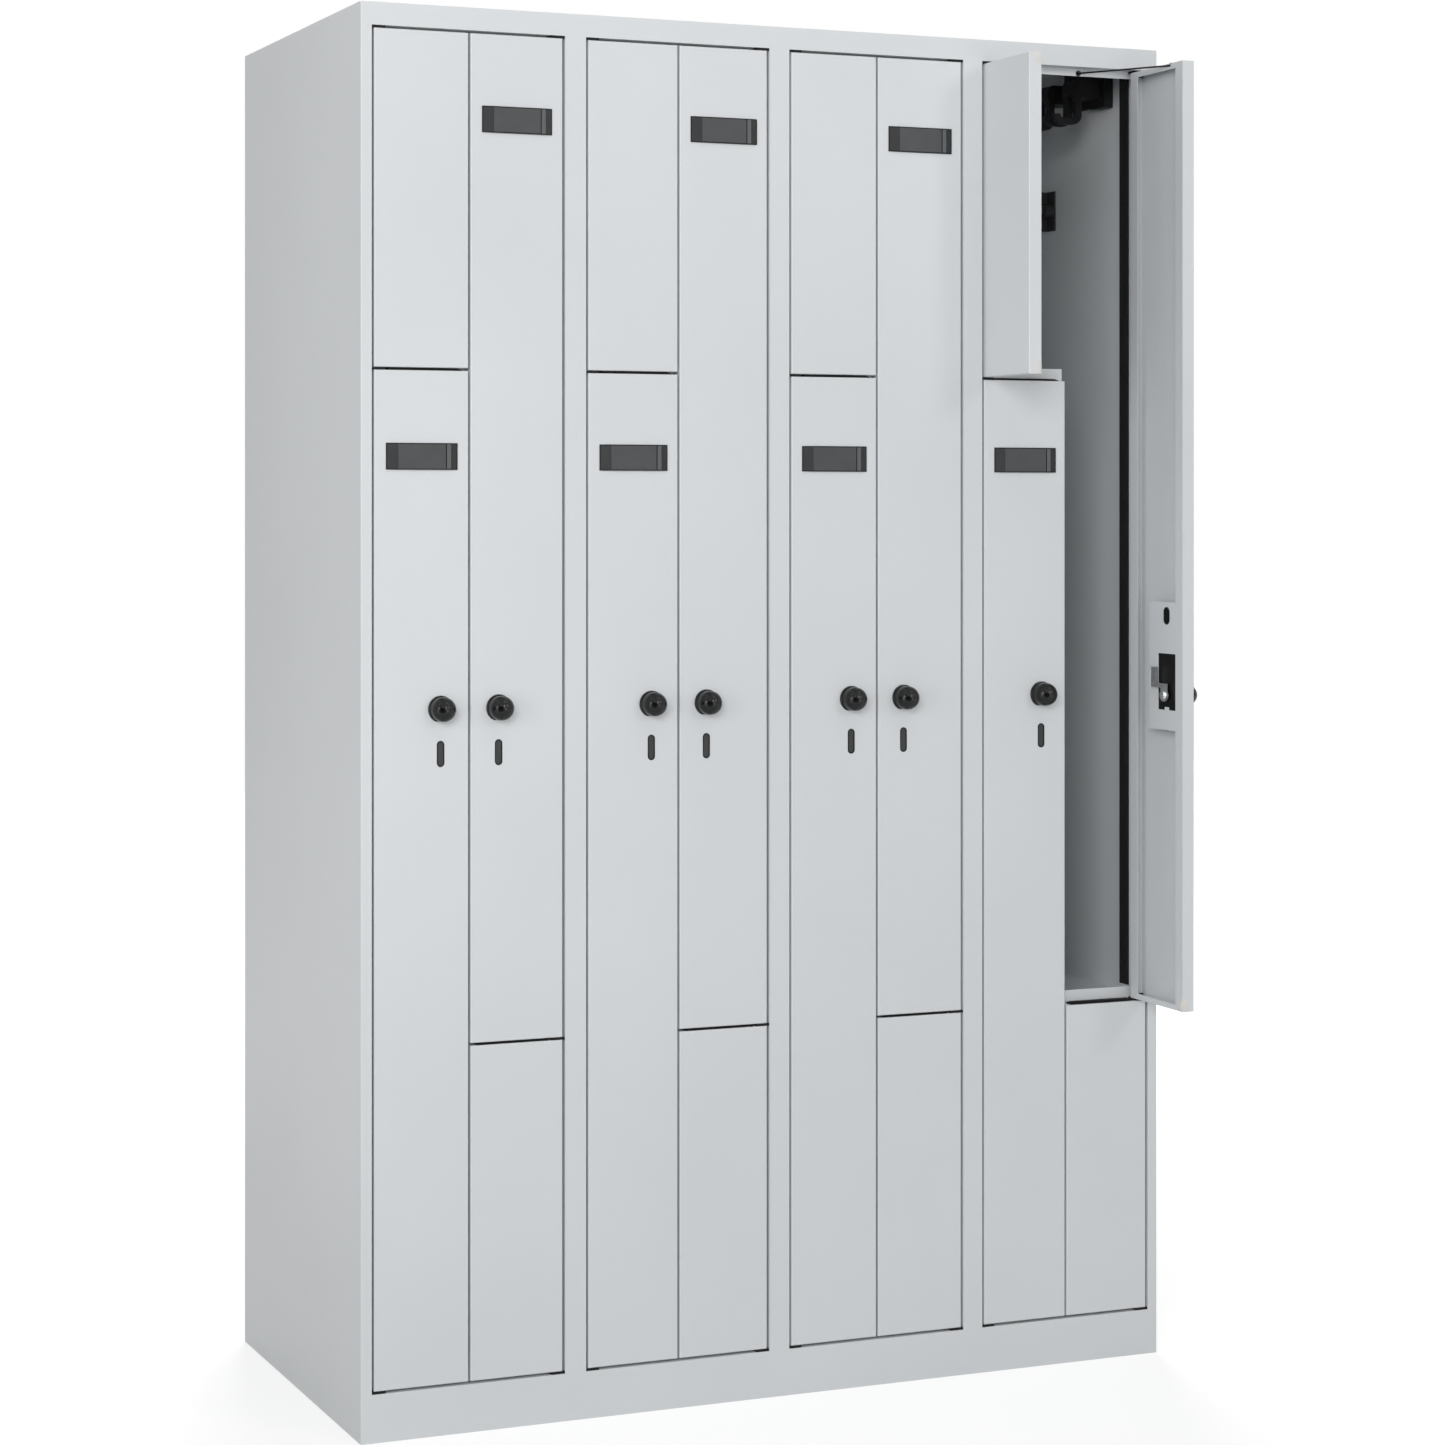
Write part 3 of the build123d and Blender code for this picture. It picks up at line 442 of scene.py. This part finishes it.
# Knob: flange and dome with a valley, a ringed hole and a flat underneath
def smooth_step(value, start, end):
    share = max(0.0, min(1.0, (value - start) / (end - start)))
    return share * share * (3 - 2 * share)


def round_sink(distance, radius):
    """One inside a round hole and zero outside it, with a soft edge."""
    return 1.0 - smooth_step(distance, radius - KNOB_HOLE_SOFTNESS, radius)


def dome_height(x, y, rise):
    """How far the dome stands out at a point, after the valley and the hole are sunk into it."""
    across = math.exp(-((x - KNOB_HOLE_X) / KNOB_VALLEY_WIDTH) ** 2)
    deeper = smooth_step(y, KNOB_VALLEY_START, KNOB_VALLEY_END)
    along = KNOB_VALLEY_SHALLOW_SHARE + (1 - KNOB_VALLEY_SHALLOW_SHARE) * deeper
    edge = 1.0 - smooth_step(math.hypot(x, y), KNOB_RADIUS * KNOB_VALLEY_FADE_SHARE, KNOB_RADIUS)
    from_hole = math.hypot(x - KNOB_HOLE_X, y)
    recess = KNOB_RECESS_DEPTH * round_sink(from_hole, KNOB_RECESS_RADIUS)
    hole = KNOB_HOLE_DEPTH * round_sink(from_hole, KNOB_HOLE_RADIUS)
    valley = KNOB_VALLEY_DEPTH * across * along * edge
    return rise - max(valley, recess) - hole


def knob_profile():
    """Radius and height of each ring of the knob, from the seat to the crown."""
    rings = [
        (KNOB_FLANGE_RADIUS, KNOB_SEAT),
        (KNOB_FLANGE_RADIUS, KNOB_FLANGE - KNOB_RIM_DROP),
        (KNOB_FLANGE_RADIUS - KNOB_RIM_SHOULDER, KNOB_FLANGE - KNOB_RIM_SHOULDER),
        (KNOB_FLANGE_RADIUS - KNOB_RIM_INSET, KNOB_FLANGE),
        (KNOB_RADIUS + KNOB_FOOT_FLARE, KNOB_FLANGE + KNOB_FOOT_STEP),
        (KNOB_RADIUS, KNOB_FLANGE + KNOB_FOOT_RISE),
        (KNOB_RADIUS, KNOB_MIDDLE - KNOB_WALL_GAP),
    ]
    for step in range(KNOB_RINGS):
        turn = math.pi / 2 * step / KNOB_RINGS
        rings.append((KNOB_RADIUS * math.cos(turn), KNOB_MIDDLE + KNOB_RADIUS * math.sin(turn)))
    return rings


def add_knob_ring(mesh, radius, rise):
    ring = []
    for step in range(KNOB_SEGMENTS):
        turn = 2 * math.pi * step / KNOB_SEGMENTS
        x = radius * math.cos(turn)
        y = max(radius * math.sin(turn), -KNOB_FLAT)
        height = dome_height(x, y, rise) if rise > KNOB_MIDDLE else rise
        ring.append(mesh.verts.new((x, y, height)))
    return ring


def in_recess(face):
    middle = face.calc_center_median()
    from_hole = math.hypot(middle.x - KNOB_HOLE_X, middle.y)
    return middle.z > KNOB_MIDDLE and from_hole < KNOB_RECESS_RADIUS


def make_knob(side, number):
    mesh = bmesh.new()
    rings = [add_knob_ring(mesh, radius, rise) for radius, rise in knob_profile()]
    add_bands(mesh, rings)
    crown = mesh.verts.new((0, 0, dome_height(0, 0, KNOB_MIDDLE + KNOB_RADIUS)))
    for step in range(KNOB_SEGMENTS):
        mesh.faces.new((rings[-1][step], rings[-1][(step + 1) % KNOB_SEGMENTS], crown))
    mesh.faces.new(list(reversed(rings[0])))
    for face in mesh.faces:
        face.material_index = int(in_recess(face))
    matrix = face_matrix(f"tall_{side}_{number}", *knob_place(side, number))
    body = f"latch_{side}_{number}"
    piece = finish_piece(mesh, f"latch_knob_{side}_{number}", matrix, body, "knob")
    # The ring round the hole and the hole take the darkest, dullest black
    piece.data.materials.append(materials["rubber"])
    return piece


# Label holder's facings: a sloped side, the clear cover, the narrow grip and the sloped end
def make_label(side, number):
    body = f"tall_{side}_{number}"
    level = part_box(f"fittings_{side}_{number}")[1].z - LABEL_HEIGHT / 2
    matrix = face_matrix(body, (FREE_EDGE - HINGE_DEPTH) / 2, level)
    half_width = LABEL_WIDTH / 2
    half_height = LABEL_HEIGHT / 2 - LABEL_RIM
    near = LABEL_NEAR - half_width
    far = half_width - LABEL_BEVEL
    grip = half_width - LABEL_GRIP
    slope_near = (LABEL_THICK - LABEL_EDGE_THICK) / LABEL_NEAR
    slope_far = (LABEL_THICK - LABEL_EDGE_THICK) / LABEL_BEVEL

    def surface(x):
        drop = max(0.0, (near - x) * slope_near, (x - far) * slope_far)
        return LABEL_THICK - drop

    facings = (
        ("label_side", "label_side", LABEL_RIM - half_width, near - LABEL_JOINT),
        ("label_cover", "label", near, grip - LABEL_JOINT - LABEL_RISE),
        ("label_grip", "label_grip", grip + LABEL_JOINT + LABEL_RISE, far),
        ("label_end", "label_side", far + LABEL_JOINT, half_width - LABEL_RIM),
    )
    for piece, material, start, end in facings:
        outline = [
            (start, surface(start) - LABEL_RISE), (end, surface(end) - LABEL_RISE),
            (end, surface(end) + LABEL_RISE / 2), (end - LABEL_RISE, surface(end - LABEL_RISE) + LABEL_RISE),
            (start + LABEL_RISE, surface(start + LABEL_RISE) + LABEL_RISE),
            (start, surface(start) + LABEL_RISE / 2),
        ]
        mesh = bmesh.new()
        add_prism(mesh, outline, -half_height, half_height, lambda u, v, height: (u, height, v))
        finish_piece(mesh, f"{piece}_{side}_{number}", matrix, body, material, False)


# Pale buffers in the free edge's ends of a leaf
def make_buffers(body, node, ends):
    low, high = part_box(node)
    mesh = bmesh.new()
    inner = FREE_EDGE - BUFFER_INWARDS
    for place in ends:
        end, way = (low.z, 1) if place == "low" else (high.z, -1)
        block = sorted((end + way * BUFFER_END_GAP, end + way * BUFFER_HEIGHT))
        pad = sorted((end + way * BUFFER_PAD_START, end + way * (BUFFER_PAD_START + BUFFER_PAD_HEIGHT)))
        add_box(mesh, (inner, BUFFER_FRONT, block[0]),
                (FREE_EDGE + BUFFER_PROUD, LEAF_REAR + BUFFER_REAR_PROUD, block[1]), BUFFER_BEVEL)
        add_box(mesh, (inner, BUFFER_FRONT, pad[0]),
                (FREE_EDGE - BUFFER_PAD, LEAF_REAR + BUFFER_PAD, pad[1]), BUFFER_PAD_BEVEL,
                BUFFER_PAD_SEGMENTS)
    finish_piece(mesh, f"buffers_{body}", leaf_matrix(body), body, "cream")


# Black strip along the top edge of the leaf under each horizontal seam, with a bead along its middle:
# painted shade, a dark piece put in the seam where there is only shade
def make_seam_shade_strip(body, node):
    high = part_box(node)[1].z
    start, end = BUSH_END + SHADE_STRIP_START_GAP, FREE_EDGE - SHADE_STRIP_END_GAP
    front, rear = SHADE_STRIP_FRONT - HINGE_DEPTH, LEAF_REAR - SHADE_STRIP_REAR
    middle, half = (front + rear) / 2, SHADE_STRIP_BEAD / 2
    top = SHADE_STRIP_RISE - SHADE_STRIP_BEAD_RISE
    profile = [
        (front, 0.0), (front, top - SHADE_STRIP_CHAMFER), (front + SHADE_STRIP_CHAMFER, top), (middle - half, top),
        (middle - half / 2, SHADE_STRIP_RISE), (middle + half / 2, SHADE_STRIP_RISE), (middle + half, top),
        (rear - SHADE_STRIP_CHAMFER, top), (rear, top - SHADE_STRIP_CHAMFER), (rear, 0.0),
    ]
    mesh = bmesh.new()
    rings = []
    for along, share in ((start, 1.0), (end - SHADE_STRIP_TAPER, 1.0), (end, SHADE_STRIP_END_SHARE)):
        rings.append([mesh.verts.new((along, y, high + rise * share)) for y, rise in profile])
    add_bands(mesh, rings)
    for ring in (rings[0], rings[-1]):
        mesh.faces.new(ring)
    finish_piece(mesh, f"seam_shade_strip_{body}", leaf_matrix(body), body, "rubber")


# Oval plug in the lock plate's upper hole: a raised rim round a sunk middle
def make_plug(side, number):
    body = f"tall_{side}_{number}"
    along, level = knob_place(side, number)
    middle = level + PLUG_ABOVE_KNOB
    steps = (
        (0.0, -PLUG_SUNK), (0.0, PLUG_PROUD - PLUG_CHAMFER), (PLUG_CHAMFER, PLUG_PROUD),
        (PLUG_RIM, PLUG_PROUD), (PLUG_RIM + PLUG_SLOPE, PLUG_PROUD - PLUG_STEP),
    )
    mesh = bmesh.new()
    rings = []
    for inset, rise in steps:
        outline = oval(PLUG_WIDTH - 2 * inset, PLUG_HEIGHT - 2 * inset)
        rings.append([mesh.verts.new((along + u, LEAF_REAR + rise, middle + v)) for u, v in outline])
    add_bands(mesh, rings)
    mesh.faces.new(rings[-1])
    mesh.faces.new(list(reversed(rings[0])))
    finish_piece(mesh, f"plug_{side}_{number}", leaf_matrix(body), body, "plastic")


# Lighter floor of the padlock slot, inside its black rim
def make_slot_floor(side, number):
    body = f"tall_{side}_{number}"
    along, level = knob_place(side, number)
    matrix = face_matrix(body, along, level - SLOT_BELOW_KNOB)
    mesh = bmesh.new()
    add_prism(mesh, oval(SLOT_WIDTH, SLOT_HEIGHT), SLOT_LOW, SLOT_HIGH, lambda u, v, rise: (u, v, rise))
    finish_piece(mesh, f"slot_floor_{side}_{number}", matrix, body, "grey_plastic", False)


def make_pieces():
    for number in range(1, BAYS + 1):
        for side in ("left", "right"):
            node = f"knob_{side}_{number}"
            knob = make_knob(side, number)
            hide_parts(node)
            make_label(side, number)
            make_plug(side, number)
            make_slot_floor(side, number)
        make_buffers(f"tall_left_{number}", f"tall_leaf_left_{number}", ("high",))
        make_buffers(f"tall_right_{number}", f"tall_leaf_right_{number}", ("low",))
        for place in ("upper", "lower"):
            make_buffers(f"small_{place}_{number}", f"small_leaf_{place}_{number}", ("low", "high"))
        # Black strips on the seams below: painted shade
        make_seam_shade_strip(f"tall_left_{number}", f"tall_leaf_left_{number}")
        make_seam_shade_strip(f"small_lower_{number}", f"small_leaf_lower_{number}")


# Floor, camera, lights and world
def seen_directly(tree):
    """One for rays from the camera, from glossy surfaces and through clear ones, else zero."""
    path = tree.nodes.new("ShaderNodeLightPath")
    total = path.outputs["Is Camera Ray"]
    for name in ("Is Glossy Ray", "Is Transmission Ray"):
        larger = tree.nodes.new("ShaderNodeMath")
        larger.operation = "MAXIMUM"
        tree.links.new(total, larger.inputs[0])
        tree.links.new(path.outputs[name], larger.inputs[1])
        total = larger.outputs["Value"]
    return total


def add_floor_lift(tree, shader):
    """Lifts the floor towards white with the distance from the object, for rays that see it directly."""
    place = tree.nodes.new("ShaderNodeTexCoord")
    away = tree.nodes.new("ShaderNodeVectorMath")
    away.operation = "LENGTH"
    tree.links.new(place.outputs["Object"], away.inputs[0])
    distance = away.outputs["Value"]
    lifted = add_range(tree, distance, FLOOR_LIFT_NEAR, FLOOR_LIFT_FAR, FLOOR_NEAR, FLOOR_FAR)
    lift = tree.nodes.new("ShaderNodeMath")
    lift.operation = "MULTIPLY"
    tree.links.new(seen_directly(tree), lift.inputs[0])
    tree.links.new(lifted, lift.inputs[1])
    shader.inputs["Emission Color"].default_value = WHITE
    tree.links.new(lift.outputs["Value"], shader.inputs["Emission Strength"])


def make_floor():
    mesh = bmesh.new()
    bmesh.ops.create_grid(mesh, x_segments=1, y_segments=1, size=FLOOR_SIZE / 2)
    data = bpy.data.meshes.new("floor")
    mesh.to_mesh(data)
    mesh.free()
    floor = bpy.data.objects.new("floor", data)
    bpy.context.scene.collection.objects.link(floor)
    material, tree, shader = new_material("floor_paper")
    grain = add_noise(tree, FLOOR_GRAIN, NOISE_DETAIL_LOW)
    add_tone(tree, shader, grain, (FLOOR_DARK,) * 3, (FLOOR_LIGHT,) * 3)
    shader.inputs["Roughness"].default_value = FLOOR_ROUGHNESS
    add_floor_lift(tree, shader)
    data.materials.append(material)


def make_camera():
    data = bpy.data.cameras.new("camera")
    data.lens = CAMERA_LENS
    data.shift_x, data.shift_y = CAMERA_SHIFT
    camera = bpy.data.objects.new("camera", data)
    camera.location = CAMERA_PLACE
    camera.rotation_euler = (math.pi / 2, 0, CAMERA_YAW)
    bpy.context.scene.collection.objects.link(camera)
    bpy.context.scene.camera = camera


def add_area(name, place, target, size, power):
    data = bpy.data.lights.new(name, "AREA")
    data.shape = "RECTANGLE"
    data.size, data.size_y = size
    data.energy = power
    lamp = bpy.data.objects.new(name, data)
    lamp.location = place
    lamp.rotation_euler = (Vector(target) - Vector(place)).to_track_quat("-Z", "Y").to_euler()
    bpy.context.scene.collection.objects.link(lamp)


def make_world():
    world = bpy.data.worlds.new("studio")
    bpy.context.scene.world = world
    world.use_nodes = True
    tree = world.node_tree
    soft = tree.nodes["Background"]
    soft.inputs["Color"].default_value = WORLD_COLOUR
    soft.inputs["Strength"].default_value = WORLD_STRENGTH
    white = tree.nodes.new("ShaderNodeBackground")
    white.inputs["Color"].default_value = WHITE
    white.inputs["Strength"].default_value = WHITE_STRENGTH
    mix = tree.nodes.new("ShaderNodeMixShader")
    tree.links.new(seen_directly(tree), mix.inputs["Fac"])
    tree.links.new(soft.outputs["Background"], mix.inputs[1])
    tree.links.new(white.outputs["Background"], mix.inputs[2])
    tree.links.new(mix.outputs["Shader"], tree.nodes["World Output"].inputs["Surface"])


def make_studio():
    make_floor()
    make_camera()
    make_world()
    for lamp in LAMPS:
        add_area(*lamp)


bpy.context.scene.view_settings.view_transform = "Standard"
dress_nodes()
make_pieces()
make_studio()
